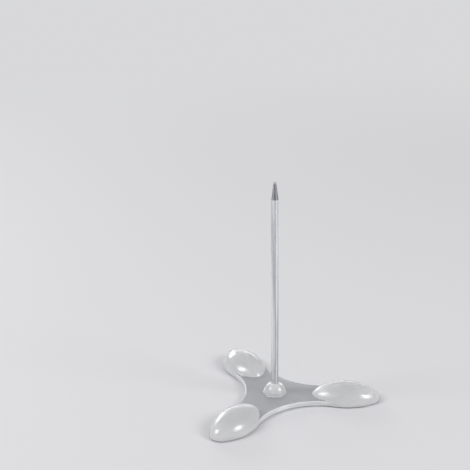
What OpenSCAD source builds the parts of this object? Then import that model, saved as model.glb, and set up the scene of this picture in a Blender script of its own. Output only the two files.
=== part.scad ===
// Bill spike: a pointed steel rod that stands in the hub of a clear base with three egg-shaped domes.
// Millimetres, +Z up. The origin is on the rod's axis, at the surface that the feet stand on.
// Arm 0 lies along +X, and the other arms follow round the rod's axis.

/* [Spike] */
// Diameter of the rod
rod_d = 3.5; // [3.2:0.1:5]
// Length of the rod from the top of the hub to the tip
free_len = 107.4; // [60:0.5:180]
// Length of the ground point, nose included
point_len = 9; // [5:0.5:20]
// Diameter where the ground point ends and the blunt nose begins
nose_d = 1.4; // [0.6:0.1:2]
// Length of the blunt nose
nose_len = 1.1; // [0.5:0.1:2]
// Diameter of the turned tenon that stands in the hub
tenon_d = 3; // [2:0.1:3.1]
// Chamfer round the lower end of the tenon
tenon_chamfer = 0.4; // [0.2:0.1:0.8]

/* [Hub] */
// Height of the hub's small dome above the plate
hub_h = 5.4; // [4:0.1:8]
// Radius of the hub where it meets the plate
hub_r = 5.8; // [5:0.1:7]
// Width of the flat on top of the hub that shows round the rod
hub_land = 0.35; // [0.1:0.05:0.6]
// Thickness of plastic left under the socket
socket_floor_t = 1; // [0.6:0.1:2]

/* [Plate] */
// Thickness of the plate
plate_t = 2.4; // [1.6:0.1:4]
// Distance from the rod's axis to the middle of each concave edge
web_reach = 15.2; // [11:0.1:18]
// Width of the step left round each dome
rim_w = 0.3; // [0.2:0.1:2]

/* [Domes] */
// Distance from the rod's axis to the widest place of each dome
lobe_mid = 35.9; // [32:0.1:50]
// Width of a dome where it meets the plate
dome_w = 19.8; // [15:0.1:22]
// Height of a dome above the plate
dome_h = 6.5; // [4:0.1:8]
// Length of a dome where it meets the plate
dome_len = 34.2; // [26:0.1:40]
// Radius of a dome's two ends, seen from above
end_r = 5.4; // [3:0.1:6]
// Thickness of a dome's wall
dome_wall = 2.2; // [1.2:0.1:2.6]

/* [Feet] */
// Thickness of the anti-slip feet
foot_t = 1; // [0.7:0.1:2]
// Depth of the recess that each foot is stuck in
foot_recess = 0.5; // [0.2:0.1:0.6]
// Width of the ledge round a dome's hollow that its foot is stuck to
ledge_w = 0.8; // [0.6:0.1:1.2]
// Diameter of the round foot under the hub
hub_foot_d = 9; // [6:0.5:12]

/* [Fits] */
// Clearance all round the tenon in its socket
socket_gap = 0.04; // [0.02:0.01:0.08]
// Clearance under the tenon, so that the rod's shoulder seats on the hub
tenon_end_gap = 0.3; // [0.1:0.1:0.6]
// Clearance all round a foot in its recess
foot_gap = 0.15; // [0.05:0.05:0.3]

/* [Hidden] */
arms = 3;
arm_turn = 360 / arms;
half_turn = arm_turn / 2;
// Steps in the arc of the blunt nose
nose_steps = 6;
// Depth that one shape runs into another where the two become one
root = 0.2;
// Depth that one curve bites into another where the two run together
web_bite = 0.05;
end_bite = 0.01;
// Room that a cutting shape has past what it cuts
past = 1;
$fn = 96;

// Heights above the surface that the feet stand on
base_z = foot_t - foot_recess;
seat_z = foot_t;
plate_z = base_z + plate_t;
hub_z = plate_z + hub_h;
socket_z = seat_z + socket_floor_t;
tenon_z = socket_z + tenon_end_gap;
tip_z = hub_z + free_len;
point_z = tip_z - point_len;
nose_z = tip_z - nose_len;

// A dome is an egg, round about an axis that lies along the arm below the top of the plate
egg_r = (dome_w * dome_w / 4 + dome_h * dome_h) / (2 * dome_h);
egg_sink = egg_r - dome_h;
egg_z = plate_z - egg_sink;
end_run = dome_len / 2 - end_r;
ball_r = norm([end_r, egg_sink]);

// The hub is a ball with a flat on top that the rod's shoulder stands on
hub_land_r = rod_d / 2 + hub_land;
hub_rise = (hub_land_r ^ 2 + hub_h ^ 2 - hub_r ^ 2) / (2 * hub_h);
hub_ball_r = norm([hub_r, hub_rise]);

// The hollow's mouth, where its foot closes it
mouth_z = seat_z - egg_z;
mouth_half_w = chord(egg_r - dome_wall, mouth_z);
mouth_end_r = chord(ball_r - dome_wall, mouth_z);

// The concave edges run into the flanks of the lobes
lobe_half_w = dome_w / 2 + rim_w;
flank_r = flank(lobe_half_w, end_r + rim_w);
flank_drop = flank_r - lobe_half_w;
flank_less = flank_r - web_bite - web_reach;
web_to = (flank_less ^ 2 - lobe_mid ^ 2 - flank_drop ^ 2)
    / (2 * (sin(half_turn) * flank_drop - cos(half_turn) * lobe_mid - flank_less));
web_r = web_to - web_reach;
web_run = [web_to * cos(half_turn) - lobe_mid, web_to * sin(half_turn) + flank_drop];
web_touch = [lobe_mid, -flank_drop] + web_run * flank_r / norm(web_run);

// Half the chord of a circle at a distance from its centre
function chord(r, away) = sqrt(r * r - away * away);
// Radius of the flank that joins two ends of radius r to a half width
function flank(half_w, r) = (end_run * end_run + half_w * half_w - r * r) / (2 * (half_w - r));

// An oval along X of a half width and two round ends, larger all round by grow
module oval(half_w, r, grow) {
    side = flank(half_w, r) + grow;
    wide = half_w + grow;
    end = r + grow;
    touch = side * end_run / (side - end);
    intersection() {
        translate([0, wide - side]) circle(side);
        translate([0, side - wide]) circle(side);
        square([2 * touch, 4 * wide], center = true);
    }
    for (run = [-end_run, end_run]) translate([run, 0]) circle(end + end_bite);
}

// An egg that is round about X
module egg(grow) {
    rotate([0, 90, 0]) rotate_extrude() intersection() {
        rotate(90) oval(egg_r, ball_r, grow);
        translate([0, -dome_len]) square(2 * dome_len);
    }
}

// What lies above a height, over a lobe
module above(z) {
    translate([-dome_len, -dome_len, z]) cube(2 * dome_len);
}

module on_arm(i) {
    rotate(arm_turn * i) translate([lobe_mid, 0]) children();
}

module plate() {
    translate([0, 0, base_z]) linear_extrude(plate_t) {
        for (i = [0:arms - 1]) on_arm(i) oval(dome_w / 2, end_r, rim_w);
        difference() {
            polygon([for (i = [0:arms - 1], side = [-1, 1])
                let (turn = arm_turn * i, x = web_touch.x, y = web_touch.y * side)
                [x * cos(turn) - y * sin(turn), x * sin(turn) + y * cos(turn)]]);
            for (i = [0:arms - 1]) rotate(arm_turn * i + half_turn) translate([web_to, 0]) circle(web_r);
        }
    }
}

module dome() {
    intersection() {
        translate([0, 0, egg_z]) egg(0);
        above(plate_z - root);
    }
}

// The hollow under a dome, down to the seat of its foot
module hollow() {
    intersection() {
        translate([0, 0, egg_z]) egg(-dome_wall);
        above(seat_z - root);
    }
}

// A foot's outline under a dome, larger than the hollow's mouth by grow
module foot_outline(grow) {
    oval(mouth_half_w, mouth_end_r, grow);
}

module hub() {
    intersection() {
        translate([0, 0, plate_z + hub_rise]) sphere(hub_ball_r);
        translate([0, 0, plate_z - root]) cylinder(h = hub_h + root, r = hub_ball_r + past);
    }
}

module base() {
    color([0.80, 0.81, 0.82, 0.5]) difference() {
        union() {
            plate();
            for (i = [0:arms - 1]) on_arm(i) dome();
            hub();
        }
        for (i = [0:arms - 1]) on_arm(i) {
            hollow();
            translate([0, 0, base_z - past]) linear_extrude(foot_recess + past) foot_outline(ledge_w);
        }
        translate([0, 0, base_z - past]) cylinder(h = foot_recess + past, d = hub_foot_d + 2 * foot_gap);
        translate([0, 0, socket_z]) cylinder(h = hub_z - socket_z + past, d = tenon_d + 2 * socket_gap);
    }
}

module spike() {
    color([0.72, 0.73, 0.75]) rotate_extrude() polygon(concat(
        [[0, tenon_z], [tenon_d / 2 - tenon_chamfer, tenon_z], [tenon_d / 2, tenon_z + tenon_chamfer]],
        [[tenon_d / 2, hub_z], [rod_d / 2, hub_z], [rod_d / 2, point_z]],
        [for (i = [0:nose_steps]) [nose_d / 2 * cos(90 * i / nose_steps),
            nose_z + nose_len * sin(90 * i / nose_steps)]]));
}

module lobe_foot(i) {
    color([0.86, 0.86, 0.85]) on_arm(i) linear_extrude(foot_t) foot_outline(ledge_w - foot_gap);
}

module hub_foot() {
    color([0.86, 0.86, 0.85]) cylinder(h = foot_t, d = hub_foot_d);
}

base();
spike();
lobe_foot(0);  // right_foot
lobe_foot(1);  // back_foot
lobe_foot(2);  // front_foot
hub_foot();
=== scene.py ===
import math

import bmesh
import bpy
from mathutils import Matrix, Vector


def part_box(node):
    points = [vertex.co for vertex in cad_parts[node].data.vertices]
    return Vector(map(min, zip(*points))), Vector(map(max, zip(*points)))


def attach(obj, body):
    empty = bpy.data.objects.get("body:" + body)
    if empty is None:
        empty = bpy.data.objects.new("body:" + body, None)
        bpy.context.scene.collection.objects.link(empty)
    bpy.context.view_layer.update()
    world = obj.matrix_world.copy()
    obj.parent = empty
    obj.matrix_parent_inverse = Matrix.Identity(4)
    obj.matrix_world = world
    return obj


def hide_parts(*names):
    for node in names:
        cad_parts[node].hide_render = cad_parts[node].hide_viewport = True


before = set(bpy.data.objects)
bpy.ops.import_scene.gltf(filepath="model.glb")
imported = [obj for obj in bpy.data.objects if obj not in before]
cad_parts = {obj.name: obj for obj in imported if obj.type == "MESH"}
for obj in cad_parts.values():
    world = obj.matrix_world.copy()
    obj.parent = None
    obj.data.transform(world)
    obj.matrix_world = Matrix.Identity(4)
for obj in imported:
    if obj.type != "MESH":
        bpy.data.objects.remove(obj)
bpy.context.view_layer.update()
mm = 0.001
seam = 0.003 * mm  # vertices closer than this become one
sliver = 0.0005 * mm  # edges shorter than this are taken out
scene = bpy.context.scene
print("frame:", sorted(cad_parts))


def toLinear(hexColour):  # sRGB hex to the linear values that a shader takes
    parts = [int(hexColour[i:i + 2], 16) / 255 for i in (1, 3, 5)]
    linear = [part / 12.92 if part <= 0.04045 else ((part + 0.055) / 1.055) ** 2.4 for part in parts]
    return linear + [1.0]


# Sockets go by name or by number: a Mix node's share is 0, its numbers are 2 and 3, its colours 6 and 7
def addNode(tree, kind, values=None, links=None, **settings):
    node = tree.nodes.new(kind)
    for name, setting in settings.items():
        setattr(node, name, setting)
    for socket, value in (values or {}).items():
        node.inputs[socket].default_value = value
    for socket, source in (links or {}).items():
        tree.links.new(source, node.inputs[socket])
    return node


def newMaterial(name):
    material = bpy.data.materials.new(name)
    material.use_nodes = True
    material.node_tree.nodes.clear()
    return material, material.node_tree


# Clear polystyrene, injection moulded: faintly grey where it is thin, and paler and cloudier where domes,
# hub and edges are, partly real haze and partly a painted glow of the light they gather; mirror bright on
# the flat web, softer on the domes and satin inside them
polystyrene = {
    "thin": "#E4E5E7",
    # The tint at full haze: partly real cloudiness, partly a painted glow on domes, hub and edges
    "hazedAndLit": "#F8F8F9",
    "ior": 1.59,
    "clear": 0.74,  # transmission where it is thin
    "cloudy": 0.32,  # and where the haze and painted glow are full
    "polished": 0.04,  # roughness of the web
    "satin": 0.35,  # and of the hollows
    "handled": 1.4,  # times rougher where hands have dulled it
    "flow": 16 * mm,  # width of the streaks left by filling the mould
    "flowSpan": (0.3, 0.7),  # stretch of the noise that the streaks show
    "flowHaze": 0.06,  # what they add to the haze or take from it
    "touch": 9 * mm,  # size of the patches dulled by handling
    "touchSpan": (0.45, 0.75),
    "ripple": 14 * mm,  # length of the slight waves in a moulded face
    "rippleHeight": 0.006 * mm,
}


def makePolystyrene(look):
    material, tree = newMaterial("clearPolystyrene")
    place = addNode(tree, "ShaderNodeTexCoord").outputs["Object"]
    haze = addNode(tree, "ShaderNodeAttribute", attribute_name="haze").outputs["Fac"]
    flow = addNode(tree, "ShaderNodeTexNoise", {"Scale": 1 / look["flow"], "Detail": 3, "Distortion": 1.5},
                   {"Vector": place})
    streak = addNode(tree, "ShaderNodeMapRange",
                     {"From Min": look["flowSpan"][0], "From Max": look["flowSpan"][1],
                      "To Min": -look["flowHaze"], "To Max": look["flowHaze"]},
                     {"Value": flow.outputs["Fac"]})
    hazeAndGlowShare = addNode(tree, "ShaderNodeMath", None, {0: haze, 1: streak.outputs["Result"]},
                    operation="ADD", use_clamp=True).outputs["Value"]
    # Tint and clearness follow the haze, which also paints domes, hub and edges paler as a glow of gathered
    # light
    tint = addNode(tree, "ShaderNodeMix", {6: toLinear(look["thin"]), 7: toLinear(look["hazedAndLit"])},
                   {0: hazeAndGlowShare}, data_type="RGBA")
    clearness = addNode(tree, "ShaderNodeMapRange", {"To Min": look["clear"], "To Max": look["cloudy"]},
                        {"Value": hazeAndGlowShare})
    touch = addNode(tree, "ShaderNodeTexNoise", {"Scale": 1 / look["touch"], "Detail": 4},
                    {"Vector": place})
    wear = addNode(tree, "ShaderNodeMapRange",
                   {"From Min": look["touchSpan"][0], "From Max": look["touchSpan"][1],
                    "To Min": 1, "To Max": look["handled"]}, {"Value": touch.outputs["Fac"]})
    satin = addNode(tree, "ShaderNodeAttribute", attribute_name="satin").outputs["Fac"]
    tool = addNode(tree, "ShaderNodeMapRange", {"To Min": look["polished"], "To Max": look["satin"]},
                   {"Value": satin})
    rough = addNode(tree, "ShaderNodeMath", None, {0: tool.outputs["Result"], 1: wear.outputs["Result"]},
                    operation="MULTIPLY")
    wave = addNode(tree, "ShaderNodeTexNoise", {"Scale": 1 / look["ripple"], "Detail": 1},
                   {"Vector": place})
    bump = addNode(tree, "ShaderNodeBump", {"Strength": 1, "Distance": look["rippleHeight"]},
                   {"Height": wave.outputs["Fac"]})
    shader = addNode(tree, "ShaderNodeBsdfPrincipled", {"IOR": look["ior"]},
                     {"Base Color": tint.outputs[2], "Roughness": rough.outputs["Value"],
                      "Transmission Weight": clearness.outputs["Result"], "Normal": bump.outputs["Normal"]})
    addNode(tree, "ShaderNodeOutputMaterial", None, {"Surface": shader.outputs["BSDF"]})
    return material


# Nickel-plated steel wire, polished by turning it: lights draw out into soft streaks along the rod,
# with faint lines from the drawing die whose bright and dull tones also paint a reflection of light left of
# the front and a dark reflection right of it, and the point is duller and darker from the grinding wheel
nickel = {
    # Tones of the die lines, which also paint a light reflection and a dark one along the rod
    "bright": "#F2F3F4",
    "dull": "#B0B2B6",
    "ground": "#9C9EA2",
    "groundLight": "#B8BABE",
    "nose": 0.5,  # how far the blunt nose goes back to the wire's own lighter tone, a painted highlight where it catches the light
    "shine": 0.36,  # roughness of a bright streak
    "satin": 0.42,  # of a dull one
    "groundRough": 0.65,  # and of the point
    "drawnOut": 0.92,  # how far a light's streak runs along the rod
    "dieAndReflectionStreak": 1.3 * mm,  # real die lines are finer, and these are as coarse as they need to be to show as painted reflections
    "lineLength": 60 * mm,
    "paintedReflectionShift": (3.4, 1.2, 0),  # puts a bright streak, a painted reflection, left of the front and a dull one, a painted dark reflection, right of it
    "lineSpan": (0.35, 0.65),  # stretch of the noise that the streaks show
    "grindRing": 0.35 * mm,  # drawn coarser than the real grit so that it shows
    "lineHeight": 0.004 * mm,
    "pointBlend": 0.15 * mm,
}


def makeNickel(look, pointHeight, noseHeight):
    material, tree = newMaterial("nickelPlatedSteel")
    place = addNode(tree, "ShaderNodeTexCoord").outputs["Object"]
    along = addNode(tree, "ShaderNodeMapping",
                    {"Scale": (1 / look["dieAndReflectionStreak"], 1 / look["dieAndReflectionStreak"], 1 / look["lineLength"]),
                     "Location": look["paintedReflectionShift"]}, {"Vector": place})
    lines = addNode(tree, "ShaderNodeTexNoise", {"Scale": 1, "Detail": 3, "Roughness": 0.6},
                    {"Vector": along.outputs["Vector"]}).outputs["Fac"]
    across = addNode(tree, "ShaderNodeMapping", {"Scale": (0, 0, 1 / look["grindRing"])}, {"Vector": place})
    rings = addNode(tree, "ShaderNodeTexNoise", {"Scale": 1, "Detail": 2},
                    {"Vector": across.outputs["Vector"]}).outputs["Fac"]
    height = addNode(tree, "ShaderNodeSeparateXYZ", None, {"Vector": place}).outputs["Z"]
    blend = look["pointBlend"]
    cone = addNode(tree, "ShaderNodeMapRange",
                   {"From Min": pointHeight - blend, "From Max": pointHeight + blend}, {"Value": height})
    # The nose turns back towards the wire's lighter tone: a painted highlight on the tip
    nose = addNode(tree, "ShaderNodeMapRange",
                   {"From Min": noseHeight - blend, "From Max": noseHeight + blend, "To Max": look["nose"]},
                   {"Value": height})
    point = addNode(tree, "ShaderNodeMath", None, {0: cone.outputs["Result"], 1: nose.outputs["Result"]},
                    operation="SUBTRACT").outputs["Value"]
    # The die lines' mask, shifted so that it paints a light reflection left of the front and a dark one
    # right of it
    streaks = addNode(tree, "ShaderNodeMapRange",
                      {"From Min": look["lineSpan"][0], "From Max": look["lineSpan"][1]},
                      {"Value": lines}).outputs["Result"]
    wire = addNode(tree, "ShaderNodeMix", {6: toLinear(look["dull"]), 7: toLinear(look["bright"])},
                   {0: streaks}, data_type="RGBA")
    ground = addNode(tree, "ShaderNodeMix", {6: toLinear(look["ground"]), 7: toLinear(look["groundLight"])},
                     {0: rings}, data_type="RGBA")
    colour = addNode(tree, "ShaderNodeMix", None, {0: point, 6: wire.outputs[2], 7: ground.outputs[2]},
                     data_type="RGBA")
    wireRough = addNode(tree, "ShaderNodeMapRange", {"To Min": look["satin"], "To Max": look["shine"]},
                        {"Value": streaks})
    rough = addNode(tree, "ShaderNodeMix", {3: look["groundRough"]},
                    {0: point, 2: wireRough.outputs["Result"]}, data_type="FLOAT")
    relief = addNode(tree, "ShaderNodeMix", None, {0: point, 2: lines, 3: rings}, data_type="FLOAT")
    bump = addNode(tree, "ShaderNodeBump", {"Strength": 1, "Distance": look["lineHeight"]},
                   {"Height": relief.outputs[0]})
    upright = addNode(tree, "ShaderNodeCombineXYZ", {"Z": 1})
    shader = addNode(tree, "ShaderNodeBsdfPrincipled", {"Metallic": 1, "Anisotropic": look["drawnOut"]},
                     {"Base Color": colour.outputs[2], "Roughness": rough.outputs[0],
                      "Normal": bump.outputs["Normal"], "Tangent": upright.outputs["Vector"]})
    addNode(tree, "ShaderNodeOutputMaterial", None, {"Surface": shader.outputs["BSDF"]})
    return material


# Pale rubber sheet, calendered and then cut to shape: matt, with a fine pebbled face
rubber = {
    "pale": "#E9E9E6",
    "shade": "#D6D6D2",
    "ior": 1.52,
    "rough": 0.62,
    "worn": 0.8,
    "cloud": 6 * mm,  # size of the paler and darker patches
    "pebble": 0.6 * mm,  # coarser than the real face so that it shows
    "pebbleHeight": 0.05 * mm,
    "pebbleStrength": 0.6,
}


def makeRubber(look):
    material, tree = newMaterial("paleRubberSheet")
    place = addNode(tree, "ShaderNodeTexCoord").outputs["Object"]
    cloud = addNode(tree, "ShaderNodeTexNoise", {"Scale": 1 / look["cloud"], "Detail": 4},
                    {"Vector": place}).outputs["Fac"]
    colour = addNode(tree, "ShaderNodeMix", {6: toLinear(look["shade"]), 7: toLinear(look["pale"])},
                     {0: cloud}, data_type="RGBA")
    rough = addNode(tree, "ShaderNodeMapRange", {"To Min": look["rough"], "To Max": look["worn"]},
                    {"Value": cloud})
    pebble = addNode(tree, "ShaderNodeTexVoronoi", {"Scale": 1 / look["pebble"]}, {"Vector": place},
                     feature="SMOOTH_F1")
    bump = addNode(tree, "ShaderNodeBump",
                   {"Strength": look["pebbleStrength"], "Distance": look["pebbleHeight"]},
                   {"Height": pebble.outputs["Distance"]})
    shader = addNode(tree, "ShaderNodeBsdfPrincipled", {"IOR": look["ior"]},
                     {"Base Color": colour.outputs[2], "Roughness": rough.outputs["Result"],
                      "Normal": bump.outputs["Normal"]})
    addNode(tree, "ShaderNodeOutputMaterial", None, {"Surface": shader.outputs["BSDF"]})
    return material


def newTree(name, inputs):  # a geometry tree with its named inputs
    tree = bpy.data.node_groups.new(name, "GeometryNodeTree")
    tree.interface.new_socket("Geometry", in_out="INPUT", socket_type="NodeSocketGeometry")
    for label, kind in inputs.items():
        tree.interface.new_socket(label, in_out="INPUT", socket_type=kind)
    tree.interface.new_socket("Geometry", in_out="OUTPUT", socket_type="NodeSocketGeometry")
    return tree, addNode(tree, "NodeGroupInput").outputs


def closeTree(tree, geometry, material):
    whole = addNode(tree, "GeometryNodeRealizeInstances", None, {"Geometry": geometry})
    finished = addNode(tree, "GeometryNodeSetMaterial", None,
                       {"Geometry": whole.outputs["Geometry"], "Material": material})
    addNode(tree, "NodeGroupOutput", None, {0: finished.outputs["Geometry"]})


def runTree(tree, mesh, sizes):  # gives the tree's result as a plain mesh
    maker = bpy.data.objects.new(tree.name, mesh)
    scene.collection.objects.link(maker)
    modifier = maker.modifiers.new(tree.name, "NODES")
    modifier.node_group = tree
    for item in tree.interface.items_tree:
        if item.in_out == "INPUT" and item.name in sizes:
            modifier[item.identifier] = sizes[item.name]
    made = maker.evaluated_get(bpy.context.evaluated_depsgraph_get())
    plain = bpy.data.meshes.new_from_object(made)
    maker.modifiers.remove(modifier)
    bpy.data.objects.remove(maker)
    return plain


# Closes a mesh's seams, turns its faces out, keeps edges past the crease in degrees sharp and hands it over
def placePiece(name, mesh, body, nodes, crease=35):
    work = bmesh.new()
    work.from_mesh(mesh)
    bmesh.ops.remove_doubles(work, verts=work.verts, dist=seam)
    bmesh.ops.dissolve_degenerate(work, edges=work.edges, dist=sliver)
    bmesh.ops.recalc_face_normals(work, faces=work.faces)
    for face in work.faces:
        face.smooth = True
    for edge in work.edges:
        edge.smooth = len(edge.link_faces) == 2 and edge.calc_face_angle() < math.radians(crease)
    loose = sum(not edge.is_manifold for edge in work.edges)
    work.to_mesh(mesh)
    work.free()
    piece = bpy.data.objects.new(name, mesh)
    scene.collection.objects.link(piece)
    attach(piece, body)
    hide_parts(*nodes)
    print(name + ":", len(mesh.polygons), "faces,", loose, "open edges")


# Vertices at places in millimetres, with a number or a list of them for each named shade
def addRing(work, places, **shades):
    ring = [work.verts.new(Vector(place) * mm) for place in places]
    for name, given in shades.items():
        layer = work.verts.layers.float[name]
        for vertex, shade in zip(ring, given if isinstance(given, list) else [given] * len(ring)):
            vertex[layer] = shade
    return ring


def addBand(work, first, second, closed):  # faces between two rings, or from a ring to its pole
    count = len(first)
    for i in range(count if closed else count - 1):
        j = (i + 1) % count
        if len(second) == 1:
            work.faces.new((first[i], first[j], second[0]))
        else:
            work.faces.new((first[i], first[j], second[j], second[i]))


def addBands(work, rings, closed):
    for first, second in zip(rings, rings[1:]):
        addBand(work, first, second, closed)


def fillFlat(work, chains):  # triangles over the flat area inside chains of vertices
    edges = []
    for chain in chains:
        for start, end in zip(chain, chain[1:]):
            edges.append(work.edges.get((start, end)) or work.edges.new((start, end)))
    bmesh.ops.triangle_fill(work, use_beauty=True, use_dissolve=False, edges=edges, normal=(0, 0, 1))


def arc(centre, radius, start, end, steps):  # points of an arc in degrees, both ends included
    turns = [math.radians(start + (end - start) * i / steps) for i in range(steps + 1)]
    return [(centre[0] + radius * math.cos(turn), centre[1] + radius * math.sin(turn)) for turn in turns]


def ease(share):  # from 0 to 1 with a soft start and end
    share = min(max(share, 0), 1)
    return share * share * (3 - 2 * share)


# The moulding, in millimetres, starting with the sizes that its solid has
moulding = {
    "arms": 3,
    "plate": 2.4,
    "webReach": 15.2,  # rod's axis to the middle of a concave edge
    "rim": 0.3,
    "lobeMid": 35.9,  # rod's axis to the widest place of a lobe
    "domeWidth": 19.8,
    "domeHeight": 6.5,
    "domeLength": 34.2,
    "endRadius": 5.4,
    "wall": 2.2,
    "ledge": 0.8,
    "hubHeight": 5.4,
    "hubRadius": 5.8,
    "hubLand": 0.35,  # flat that shows round the rod
    "socket": 1.54,  # radius of the hole for the rod's tenon
    "socketFloor": 1.0,
    "footGap": 0.15,
    # What only the moulded surface has: soft edges, fillets and the full curve of the lobes
    "hubFillet": 0.5,
    "socketLip": 0.12,
    "topRound": 0.45,
    "underRound": 0.25,
    "margin": 0.04,  # flat band kept beside a rounded edge
    "lobeFull": (2.0, 0.5),  # powers of a lobe's curve from its lower edge up to its crown
    "lobeSeam": 0.15,  # depth below the web's face at which a lobe's flank becomes its dome
    "webFillet": 0.35,  # where a dome meets the flat web
    "filletLean": 65,  # degrees that this fillet turns before it runs into the dome
    "webRoom": 1.2,  # distance over which a lobe's flank turns into the web's own edge
    # Haze and glow goes from 0, clear, to 1, cloudy and painted pale as a glow of gathered light, and satin
    # from 0, as on the web, to 1, as in the hollows
    "crownHazeAndGlow": 0.38,
    "lobeHazeAndGlow": 0.75,  # at a lobe's outline, paler than the crown as painted shading of the dome
    "hazePower": 4,  # how late the crown's haze turns into the outline's paler painted shading
    # the hub's is painted pale, partly real haze that hides the tenon and partly a painted glow
    "hubHazeAndGlow": 0.75,
    "lobeSatin": 0.5,
    "hubSatin": 0.2,
    # Steps in the curves
    "edgeSteps": (16, 40, 30),  # round half a lobe's end, along its flank and along half a bay
    "endSteps": 26,
    "flankSteps": 34,
    "crownSteps": 25,
    "hubSteps": 30,
    "ballSteps": 24,
    "filletSteps": 6,
    "underSteps": 4,
    "topSteps": 6,
    "footSteps": 4,
    "raySteps": 6,
}
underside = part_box("base")[0].z / mm
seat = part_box("right_foot")[1].z / mm
plateTop = underside + moulding["plate"]
armRun = moulding["domeLength"] / 2 - moulding["endRadius"]  # lobe's middle to the centre of a round end
halfDome = moulding["domeWidth"] / 2
lobeHeight = moulding["plate"] + moulding["domeHeight"]
lobeOutline = (halfDome + moulding["rim"], moulding["endRadius"] + moulding["rim"])  # half width, end radius
eggRadius = (halfDome ** 2 + moulding["domeHeight"] ** 2) / (2 * moulding["domeHeight"])
eggSink = eggRadius - moulding["domeHeight"]
eggAxis = plateTop - eggSink
ballRadius = math.hypot(moulding["endRadius"], eggSink)
hollowMouth = [math.sqrt((radius - moulding["wall"]) ** 2 - (seat - eggAxis) ** 2)
               for radius in (eggRadius, ballRadius)]  # half width and end radius again


def flankRadius(halfWidth, endRadius):  # of the sides that join two round ends
    return (armRun ** 2 + halfWidth ** 2 - endRadius ** 2) / (2 * (halfWidth - endRadius))


def oval(halfWidth, endRadius, grow=0):  # closed outline along an arm, about the lobe's middle
    side = flankRadius(halfWidth, endRadius)
    turn = math.degrees(math.atan2(side - halfWidth, armRun))
    ends = moulding["endSteps"]
    flanks = moulding["flankSteps"]
    points = arc((armRun, 0), endRadius + grow, -turn, turn, ends)[:-1]
    points += arc((0, halfWidth - side), side + grow, turn, 180 - turn, flanks)[:-1]
    points += arc((-armRun, 0), endRadius + grow, 180 - turn, 180 + turn, ends)[:-1]
    points += arc((0, side - halfWidth), side + grow, 180 + turn, 360 - turn, flanks)[:-1]
    return points


def hollowTop(x, y):  # height of the egg-shaped hollow over a point of its lobe
    half = eggRadius - moulding["wall"]
    ball = ballRadius - moulding["wall"]
    side = flankRadius(eggRadius, ballRadius) - moulding["wall"]
    if abs(x) <= side * armRun / (side - ball):
        radius = half - side + math.sqrt(side ** 2 - x ** 2)
    else:
        radius = math.sqrt(max(ball ** 2 - (abs(x) - armRun) ** 2, 0))
    return eggAxis + math.sqrt(max(radius ** 2 - y ** 2, 0))


def lobeTop(share):  # height of a lobe's surface, by the share of the way out to its outline
    first, second = moulding["lobeFull"]
    return underside + lobeHeight * (1 - share ** first) ** second


def lobeShare(height):  # the same curve the other way round
    first, second = moulding["lobeFull"]
    return (1 - ((height - underside) / lobeHeight) ** (1 / second)) ** (1 / first)


def pastLobe(spot):  # how far a point lies outside a lobe's outline, less than 0 inside it
    halfWidth, endRadius = lobeOutline
    side = flankRadius(halfWidth, endRadius)
    drop = side - halfWidth
    x = abs(spot.x)
    y = abs(spot.y)
    if x * drop <= armRun * (y + drop):
        return math.hypot(x, y + drop) - side
    return math.hypot(x - armRun, y) - endRadius


def armOutline(shape):  # an arm's edge from mid bay to mid bay, as points and their outward directions
    half = 180 / shape["arms"]
    slope = math.radians(half)
    halfWidth, endRadius = lobeOutline
    side = flankRadius(halfWidth, endRadius)
    drop = side - halfWidth
    less = side - shape["webReach"]
    # The arc of a bay touches a flank, and webTo is how far from the rod's axis its centre lies
    webTo = (less ** 2 - shape["lobeMid"] ** 2 - drop ** 2) / (
        2 * (math.sin(slope) * drop - math.cos(slope) * shape["lobeMid"] - less))
    flankAt = (shape["lobeMid"], -drop)
    webAt = (webTo * math.cos(slope), webTo * math.sin(slope))
    endTurn = math.degrees(math.atan2(drop, armRun))
    webTurn = math.degrees(math.atan2(webAt[1] - flankAt[1], webAt[0] - flankAt[0]))
    stretches = [
        ((shape["lobeMid"] + armRun, 0), endRadius, 0, endTurn, 1),
        (flankAt, side, endTurn, webTurn, 1),
        (webAt, webTo - shape["webReach"], webTurn + 180, half + 180, -1),
    ]
    edge = []
    for (centre, radius, start, end, way), steps in zip(stretches, shape["edgeSteps"]):
        for point in arc(centre, radius, start, end, steps)[1 if edge else 0:]:
            out = (Vector(point) - Vector(centre)).normalized() * way
            edge.append((Vector(point), out))
    mirrored = [(Vector((point.x, -point.y)), Vector((out.x, -out.y))) for point, out in reversed(edge[1:])]
    return mirrored + edge


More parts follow.
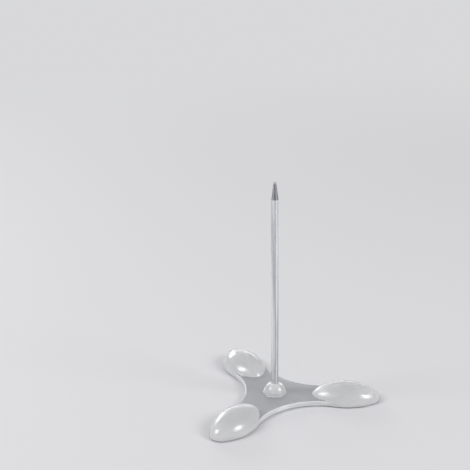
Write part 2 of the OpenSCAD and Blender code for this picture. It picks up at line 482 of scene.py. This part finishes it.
def addEdge(work, edge, shape):  # rings along an arm's outline, from the flat below to the flat above
    middle = Vector((shape["lobeMid"], 0))
    webShares = [ease(pastLobe(point - middle) / shape["webRoom"]) for point, out in edge]
    # Edges are painted pale, fullest in the bays, as a painted glow of light piped along the plate's edge
    pale = [shape["lobeHazeAndGlow"] + (1 - shape["lobeHazeAndGlow"]) * web for web in webShares]

    # A place is an inset and a height, and a shade is a share of the full haze and painted glow and of the
    # satin
    def addLevel(lobePlace, webPlace, shades):
        inset, height = lobePlace
        spots = []
        for (point, out), web in zip(edge, webShares):
            onLobe = middle + (point - out * inset - middle) * lobeShare(height)
            onWeb = point - out * webPlace[0]
            spots.append((*onLobe.lerp(onWeb, web), height + (webPlace[1] - height) * web))
        return addRing(work, spots, haze=[haze * shade for haze, shade in zip(pale, shades)],
                       satin=[shape["lobeSatin"] * shade for shade in shades])

    under = shape["underRound"]
    top = shape["topRound"]
    none = [0] * len(edge)
    full = [1] * len(edge)
    flat = (under + shape["margin"], underside)
    rings = [addLevel(flat, flat, none)]
    for place in arc((under, underside + under), under, 270, 180, shape["underSteps"]):
        rings.append(addLevel(place, place, full))
    lowest = underside + under
    highest = plateTop - shape["lobeSeam"]
    rounded = arc((top, plateTop - top), top, 180, 90, shape["topSteps"])
    for i, place in enumerate(rounded):
        height = lowest + (highest - lowest) * (i + 1) / (len(rounded) + 1)
        rings.append(addLevel((0, height), place, full))
    rings.append(addLevel((0, highest), (top + shape["margin"], plateTop), [1 - web for web in webShares]))
    addBands(work, rings, False)
    return rings


# An arm's part of a turned form, with a share of the hub's haze and painted glow and of its satin at each
# place of its profile
def turnProfile(work, profile, shares, shape):
    half = 180 / shape["arms"]
    steps = shape["hubSteps"]
    turns = [math.radians(-half + 2 * half * i / steps) for i in range(steps + 1)]
    rings = []
    for (radius, height), share in zip(profile, shares):
        spots = [(radius * math.cos(turn), radius * math.sin(turn), height) for turn in turns]
        rings.append(addRing(work, spots[:1] if radius == 0 else spots,
                             haze=shape["hubHazeAndGlow"] * share, satin=shape["hubSatin"] * share))
    addBands(work, rings, False)
    return rings


def addHub(work, shape):  # from the plate up over the small dome and down into its socket
    top = plateTop + shape["hubHeight"]
    socket = shape["socket"]
    socketFloor = seat + shape["socketFloor"]
    lip = shape["socketLip"]
    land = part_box("spike")[1].x / mm + shape["hubLand"]
    rise = (land ** 2 + shape["hubHeight"] ** 2 - shape["hubRadius"] ** 2) / (2 * shape["hubHeight"])
    ball = math.hypot(shape["hubRadius"], rise)
    fillet = shape["hubFillet"]
    reach = math.sqrt((ball + fillet) ** 2 - (fillet - rise) ** 2)
    lean = math.degrees(math.asin((fillet - rise) / (ball + fillet)))
    crown = math.degrees(math.acos(land / ball))
    profile = arc((reach, plateTop + fillet), fillet, 270, 180 + lean, shape["filletSteps"])
    profile += arc((0, plateTop + rise), ball, lean, crown, shape["ballSteps"])[1:]
    profile += [(socket + lip, top), (socket, top - lip), (socket, socketFloor), (0, socketFloor)]
    # The hub is clear where it leaves the plate and has its full haze, painted glow and satin above the
    # fillet
    shares = [min(i / shape["filletSteps"], 1) ** 2 for i in range(len(profile))]
    return turnProfile(work, profile, shares, shape)


def addPocket(work, shape):  # the recess for the hub's foot
    radius = shape["footGap"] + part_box("hub_foot")[1].x / mm
    return turnProfile(work, [(radius, underside), (radius, seat), (0, seat)], [0, 0, 0], shape)


def addDome(work, edge, shape):  # a lobe from the web's face up, with a fillet where it stands on the web
    middle = Vector((shape["lobeMid"], 0))
    outline = [Vector(point) for point in oval(*lobeOutline)]
    outward = [Vector(point) - spot for point, spot in zip(oval(*lobeOutline, 1), outline)]
    footShare = lobeShare(plateTop)
    foot = [spot * footShare for spot in outline]
    webShares = []
    for spot in foot:
        nearest = min((point - middle - spot).length for point, out in edge)
        webShares.append(ease((nearest + pastLobe(spot)) / shape["webRoom"]))
    fillet = shape["webFillet"]
    lean = math.radians(shape["filletLean"])
    # How far past the dome's foot the fillet starts, in radii of the fillet
    reach = math.sin(lean) - (1 - math.cos(lean)) / math.tan(lean)
    rings = []
    for i in range(shape["footSteps"] + 1):
        along = i / shape["footSteps"]
        turn = lean * along
        spots = []
        for spot, out, web in zip(foot, outward, webShares):
            place = middle + spot + out * fillet * web * (reach - math.sin(turn))
            spots.append((*place, plateTop + fillet * web * (1 - math.cos(turn))))
        shades = [1 - web * (1 - along) for web in webShares]
        rings.append(addRing(work, spots, haze=[shape["lobeHazeAndGlow"] * shade for shade in shades],
                             satin=[shape["lobeSatin"] * shade for shade in shades]))
    lowTurn = math.acos(footShare)
    for i in range(1, shape["crownSteps"]):
        share = math.cos(lowTurn + (math.pi / 2 - lowTurn) * i / shape["crownSteps"])
        # Paler towards the outline than at the crown: painted shading of the dome
        haze = shape["crownHazeAndGlow"] + (shape["lobeHazeAndGlow"] - shape["crownHazeAndGlow"]) * share ** shape["hazePower"]
        spots = [(*(middle + spot * share), lobeTop(share)) for spot in outline]
        rings.append(addRing(work, spots, haze=haze, satin=shape["lobeSatin"]))
    rings.append(addRing(work, [(*middle, lobeTop(0))], haze=shape["crownHazeAndGlow"], satin=shape["lobeSatin"]))
    addBands(work, rings, True)
    return rings


def addHollow(work, shape):  # the recess for a lobe's foot and the hollow above it
    lobe = shape["lobeMid"]
    rings = []
    for grow, height, satin in ((shape["ledge"], underside, 0), (shape["ledge"], seat, 0), (0, seat, 1)):
        spots = [(x + lobe, y, height) for x, y in oval(*hollowMouth, grow)]
        rings.append(addRing(work, spots, satin=satin))
    mouth = oval(*hollowMouth)
    for i in range(1, shape["crownSteps"]):
        share = math.cos(math.radians(90 * i / shape["crownSteps"]))
        spots = [(x * share + lobe, y * share, hollowTop(x * share, y * share)) for x, y in mouth]
        rings.append(addRing(work, spots, haze=shape["crownHazeAndGlow"], satin=1))
    rings.append(addRing(work, [(lobe, 0, hollowTop(0, 0))], haze=shape["crownHazeAndGlow"], satin=1))
    addBands(work, rings, True)
    return rings


def closeFlat(work, inner, outer, hole, shape):  # flat plastic between the hub, the bays and the lobe's oval
    rays = []
    for start, end in ((inner[0], outer[0]), (inner[-1], outer[-1])):
        steps = [start.co.lerp(end.co, i / shape["raySteps"]) / mm for i in range(1, shape["raySteps"])]
        rays.append([start] + addRing(work, steps) + [end])
    fillFlat(work, [inner, outer, hole + hole[:1]] + rays)


def makeArm(shape):  # a third of the moulding
    work = bmesh.new()
    for shade in ("haze", "satin"):
        work.verts.layers.float.new(shade)
    edge = armOutline(shape)
    rings = addEdge(work, edge, shape)
    hub = addHub(work, shape)
    pocket = addPocket(work, shape)
    dome = addDome(work, edge, shape)
    hollow = addHollow(work, shape)
    closeFlat(work, hub[0], rings[-1], dome[0], shape)
    closeFlat(work, pocket[0], rings[0], hollow[0], shape)
    mesh = bpy.data.meshes.new("mouldedArm")
    work.to_mesh(mesh)
    work.free()
    return mesh


def makeArmsTree():  # sets the arms round the rod's axis and joins them
    tree, given = newTree("armsRoundAxis", {"Arms": "NodeSocketInt", "Seam": "NodeSocketFloat",
                                            "Material": "NodeSocketMaterial"})
    spots = addNode(tree, "GeometryNodePoints", None, {"Count": given["Arms"]})
    index = addNode(tree, "GeometryNodeInputIndex").outputs["Index"]
    share = addNode(tree, "ShaderNodeMath", {0: math.tau}, {1: given["Arms"]}, operation="DIVIDE")
    turn = addNode(tree, "ShaderNodeMath", None, {0: index, 1: share.outputs["Value"]}, operation="MULTIPLY")
    aim = addNode(tree, "ShaderNodeCombineXYZ", None, {"Z": turn.outputs["Value"]})
    arms = addNode(tree, "GeometryNodeInstanceOnPoints", None,
                   {"Points": spots.outputs["Points"], "Instance": given["Geometry"],
                    "Rotation": aim.outputs["Vector"]})
    solid = addNode(tree, "GeometryNodeRealizeInstances", None, {"Geometry": arms.outputs["Instances"]})
    joined = addNode(tree, "GeometryNodeMergeByDistance", None,
                     {"Geometry": solid.outputs["Geometry"], "Distance": given["Seam"]})
    closeTree(tree, joined.outputs["Geometry"], given["Material"])
    return tree


baseMesh = runTree(makeArmsTree(), makeArm(moulding),
                   {"Arms": moulding["arms"], "Seam": seam, "Material": makePolystyrene(polystyrene)})
placePiece("clearBase", baseMesh, "base", ["base"])

# The rod, in millimetres: tenon, shoulder, drawn shank, ground point and blunt nose
rod = {
    "tenon": 1.5,  # radius
    "tenonChamfer": 0.4,
    "shoulderBreak": 0.1,
    "point": 9.0,  # length, nose included
    "pointBreak": 0.2,
    "pointEase": 0.01,  # what the rod's radius loses at the edge where the point begins
    "nose": 0.7,  # radius where the nose begins
    "noseLength": 1.1,
    "noseSteps": 8,
    "shankSteps": 8,
    "sides": 72,
    "crease": 20,  # degrees
    "lift": 0.01,  # keeps the shoulder's face off the hub's
}
rodLow, rodHigh = [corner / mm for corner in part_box("spike")]
shoulder = plateTop + moulding["hubHeight"] + rod["lift"]
pointStart = rodHigh.z - rod["point"]
noseStart = rodHigh.z - rod["noseLength"]


def makeRodPath(shape):  # stations up the rod's axis, each a height and a radius
    shank = rodHigh.x
    small = shape["shoulderBreak"]
    soft = shape["pointBreak"]
    fall = (shank - shape["nose"]) / (noseStart - pointStart)
    stations = [
        (rodLow.z, shape["tenon"] - shape["tenonChamfer"]),
        (rodLow.z + shape["tenonChamfer"], shape["tenon"]),
        (shoulder - shape["lift"] / 2, shape["tenon"]),
        (shoulder, shank - small),
        (shoulder + small, shank),
    ]
    for i in range(1, shape["shankSteps"]):
        stations.append((shoulder + (pointStart - shoulder) * i / shape["shankSteps"], shank))
    stations += [
        (pointStart - soft, shank),
        (pointStart, shank - shape["pointEase"]),
        (pointStart + soft, shank - fall * soft),
        (noseStart - soft, shape["nose"] + fall * soft),
    ]
    for i in range(shape["noseSteps"]):
        turn = math.radians(90 * i / shape["noseSteps"])
        stations.append((noseStart + shape["noseLength"] * math.sin(turn), shape["nose"] * math.cos(turn)))
    mesh = bpy.data.meshes.new("rodPath")
    links = [(i, i + 1) for i in range(len(stations) - 1)]
    mesh.from_pydata([(0, 0, height * mm) for height, radius in stations], links, [])
    turned = mesh.attributes.new("turnedRadius", "FLOAT", "POINT")
    turned.data.foreach_set("value", [radius * mm for height, radius in stations])
    return mesh


def makeTurningTree():  # turns a round form along a path from the radius at each station
    tree, given = newTree("turnedForm", {"Sides": "NodeSocketInt", "Material": "NodeSocketMaterial"})
    path = addNode(tree, "GeometryNodeMeshToCurve", None, {"Mesh": given["Geometry"]})
    circle = addNode(tree, "GeometryNodeCurvePrimitiveCircle", {"Radius": 1},
                     {"Resolution": given["Sides"]})
    radius = addNode(tree, "GeometryNodeInputNamedAttribute", {"Name": "turnedRadius"}, data_type="FLOAT")
    turned = addNode(tree, "GeometryNodeCurveToMesh", {"Fill Caps": True},
                     {"Curve": path.outputs["Curve"], "Profile Curve": circle.outputs["Curve"],
                      "Scale": radius.outputs["Attribute"]})
    closeTree(tree, turned.outputs["Mesh"], given["Material"])
    return tree


plating = makeNickel(nickel, pointStart * mm, noseStart * mm)
spikeMesh = runTree(makeTurningTree(), makeRodPath(rod), {"Sides": rod["sides"], "Material": plating})
placePiece("platedSpike", spikeMesh, "spike", ["spike"], rod["crease"])

# The feet, in millimetres: cut from sheet, with edges that the cutter has rounded a little
feet = {
    "under": 0.18,  # radius of the lower edge
    "underSteps": 4,
    "upper": 0.08,  # and of the upper one
    "upperSteps": 3,
    "margin": 0.12,  # flat band kept beside a rounded edge
    "glue": 0.02,  # thickness of the glue line above a foot
    "sides": 96,
}
rubberSheet = makeRubber(rubber)


def lobeFoot(inset, arm):  # a foot's outline under an arm's dome
    turn = Matrix.Rotation(math.tau * arm / moulding["arms"], 2)
    grow = moulding["ledge"] - moulding["footGap"]
    return [turn @ Vector((x + moulding["lobeMid"], y)) for x, y in oval(*hollowMouth, grow - inset)]


def hubFoot(inset):
    return arc((0, 0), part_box("hub_foot")[1].x / mm - inset, 0, 360, feet["sides"])[:-1]


def makeFoot(name, outline, *place):  # outline gives its points for an inset
    low, high = [corner.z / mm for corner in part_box(name)]
    high -= feet["glue"]
    under = feet["under"]
    upper = feet["upper"]
    levels = [(under + feet["margin"], low)]
    levels += arc((under, low + under), under, 270, 180, feet["underSteps"])
    levels += arc((upper, high - upper), upper, 180, 90, feet["upperSteps"])
    levels += [(upper + feet["margin"], high)]
    work = bmesh.new()
    rings = [addRing(work, [(*point, z) for point in outline(inset, *place)]) for inset, z in levels]
    addBands(work, rings, True)
    work.faces.new(rings[0])
    work.faces.new(rings[-1])
    mesh = bpy.data.meshes.new(name)
    work.to_mesh(mesh)
    work.free()
    mesh.materials.append(rubberSheet)
    words = name.split("_")
    placePiece(words[0] + words[1].title(), mesh, "base", [name])


for armNumber, footName in enumerate(("right_foot", "back_foot", "front_foot")):
    makeFoot(footName, lobeFoot, armNumber)
makeFoot("hub_foot", hubFoot)

# A plain pale floor under soft studio light, in metres
studio = {
    "floor": "#D3D3D6",
    "floorSize": 8.0,
    "floorRough": 0.7,
    "floorFade": (0.25, 0.9),  # stretch away from the object where the floor turns to the backdrop's tone
    "floorDrop": 0.02 * mm,  # keeps the floor's face off the feet's
    "fill": 0.5,  # strength of the light from all round
    "backdrop": "#D8D8DA",
}


def shownRays(tree):  # 1 for what the camera sees, straight or through metal and plastic
    rays = addNode(tree, "ShaderNodeLightPath").outputs
    seen = addNode(tree, "ShaderNodeMath", None, {0: rays["Is Camera Ray"], 1: rays["Is Glossy Ray"]},
                   operation="MAXIMUM")
    return addNode(tree, "ShaderNodeMath", None, {0: seen.outputs["Value"], 1: rays["Is Transmission Ray"]},
                   operation="MAXIMUM").outputs["Value"]


def makeFloor(look):
    material, tree = newMaterial("paleFloor")
    place = addNode(tree, "ShaderNodeTexCoord").outputs["Object"]
    away = addNode(tree, "ShaderNodeVectorMath", None, {0: place}, operation="LENGTH")
    far = addNode(tree, "ShaderNodeMapRange",
                  {"From Min": look["floorFade"][0], "From Max": look["floorFade"][1]},
                  {"Value": away.outputs["Value"]}, interpolation_type="SMOOTHSTEP")
    share = addNode(tree, "ShaderNodeMath", None, {0: far.outputs["Result"], 1: shownRays(tree)},
                    operation="MULTIPLY")
    near = addNode(tree, "ShaderNodeBsdfPrincipled",
                   {"Base Color": toLinear(look["floor"]), "Roughness": look["floorRough"]})
    distant = addNode(tree, "ShaderNodeEmission", {"Color": toLinear(look["backdrop"]), "Strength": 1})
    shader = addNode(tree, "ShaderNodeMixShader", None,
                     {0: share.outputs["Value"], 1: near.outputs["BSDF"], 2: distant.outputs["Emission"]})
    addNode(tree, "ShaderNodeOutputMaterial", None, {"Surface": shader.outputs["Shader"]})
    half = look["floorSize"] / 2
    corners = [(-half, -half, 0), (half, -half, 0), (half, half, 0), (-half, half, 0)]
    mesh = bpy.data.meshes.new("floor")
    mesh.from_pydata(corners, [], [(0, 1, 2, 3)])
    mesh.materials.append(material)
    floor = bpy.data.objects.new("floor", mesh)
    floor.location.z = -look["floorDrop"]
    scene.collection.objects.link(floor)


def makeWorld(look):
    world = bpy.data.worlds.new("studio")
    world.use_nodes = True
    tree = world.node_tree
    tree.nodes.clear()
    light = addNode(tree, "ShaderNodeBackground", {"Color": (1, 1, 1, 1), "Strength": look["fill"]})
    pale = addNode(tree, "ShaderNodeBackground", {"Color": toLinear(look["backdrop"]), "Strength": 1})
    mixed = addNode(tree, "ShaderNodeMixShader", None,
                    {0: shownRays(tree), 1: light.outputs["Background"], 2: pale.outputs["Background"]})
    addNode(tree, "ShaderNodeOutputWorld", None, {"Surface": mixed.outputs["Shader"]})
    scene.world = world


# Soft boxes, by compass turn and height in degrees as seen from the object, with sizes in metres
softBoxes = {
    "leftBox": {"turn": 256, "rise": 43, "away": 1.4, "width": 0.44, "height": 0.66, "watts": 8.0},
    "rightBox": {"turn": 111, "rise": 35, "away": 1.4, "width": 0.5, "height": 0.62, "watts": 8.0},
    "backStrip": {"turn": 350, "rise": 11, "away": 2.5, "width": 2.8, "height": 0.8, "watts": 7.5},
    "backBox": {"turn": 328, "rise": 17, "away": 1.6, "width": 0.55, "height": 0.33, "watts": 3.0},
}


def addSoftBox(name, box):
    turn = math.radians(box["turn"])
    rise = math.radians(box["rise"])
    towards = Vector((math.sin(turn) * math.cos(rise), math.cos(turn) * math.cos(rise), math.sin(rise)))
    light = bpy.data.lights.new(name, "AREA")
    light.shape = "ELLIPSE"
    light.size = box["width"]
    light.size_y = box["height"]
    light.energy = box["watts"]
    lamp = bpy.data.objects.new(name, light)
    lamp.location = towards * box["away"]
    lamp.rotation_euler = towards.to_track_quat("Z", "Y").to_euler()
    lamp.visible_camera = False
    scene.collection.objects.link(lamp)


makeFloor(studio)
makeWorld(studio)
for boxName, boxSettings in softBoxes.items():
    addSoftBox(boxName, boxSettings)
print("studio:", len(softBoxes), "soft boxes")

# The photograph's view, with the rod upright where the photograph has it, in degrees and metres
camera = {
    "turn": 2.5,
    "rise": 24.5,
    "away": 0.55,
    "aim": 40 * mm,  # height on the rod that comes to rodAt
    "frame": 470,  # in pixels, as the next two are
    "focal": 1092,
    "rodAt": (275, 326),
    "sensor": 36.0,  # in millimetres
    "nearest": 0.01,
}


def addCamera(view):
    turn = math.radians(view["turn"])
    rise = math.radians(view["rise"])
    aim = Vector((0, 0, view["aim"]))
    back = Vector((math.sin(turn) * math.cos(rise), -math.cos(turn) * math.cos(rise), math.sin(rise)))
    eye = aim + back * view["away"]
    right = Vector((math.cos(turn), math.sin(turn), 0))
    middle = view["frame"] / 2
    off = [(place - middle) / view["focal"] for place in view["rodAt"]]
    forward = (-back - right * off[0] + back.cross(right) * off[1]).normalized()
    upright = Vector((0, 0, 1))
    up = (aim - eye).cross(upright).cross(forward).normalized()  # keeps the rod upright in the frame
    side = forward.cross(up)
    data = bpy.data.cameras.new("photoView")
    data.sensor_width = view["sensor"]
    data.lens = view["focal"] / view["frame"] * view["sensor"]
    data.clip_start = view["nearest"]
    eyePiece = bpy.data.objects.new("photoView", data)
    eyePiece.matrix_world = Matrix.Translation(eye) @ Matrix((side, up, -forward)).transposed().to_4x4()
    scene.collection.objects.link(eyePiece)
    scene.camera = eyePiece
    print("camera:", view["turn"], "degrees round and", view["rise"], "up")


addCamera(camera)
scene.view_settings.view_transform = "Standard"
